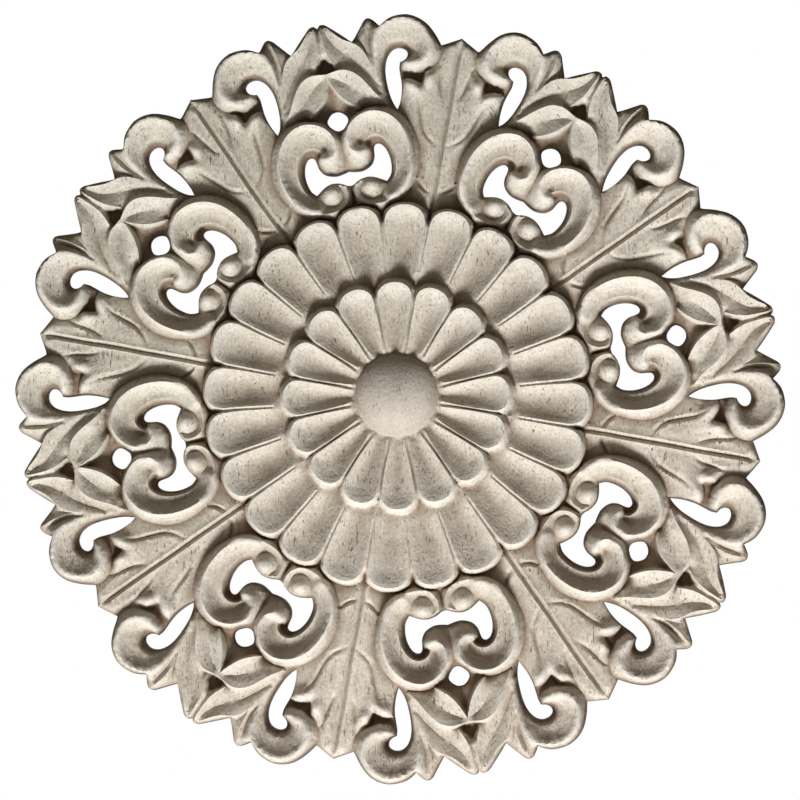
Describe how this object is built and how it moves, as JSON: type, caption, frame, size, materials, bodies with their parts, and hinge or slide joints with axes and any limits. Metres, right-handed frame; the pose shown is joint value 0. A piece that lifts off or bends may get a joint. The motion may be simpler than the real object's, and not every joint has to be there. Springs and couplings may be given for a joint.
{
  "type": "carved wood rosette applique",
  "caption": "Round pierced carved wood rosette with a domed button, petal rings, paired C-scrolls and leafy scrolled rim, for gluing flat onto a surface",
  "frame": {"origin": "centre of the flat back, on the rosette's axis", "axes": "+Y out of the flat back, the carved face looks along -Y, and a rib of a broad leaf points along +Z"},
  "size_m": [0.2984, 0.02, 0.2984],
  "materials": {
    "wood": "bare unfinished pale hardwood, sanded, open fine pores"
  },
  "bodies": {
    "root": {"carved_rosette": "wood"}
  },
  "joints": []
}
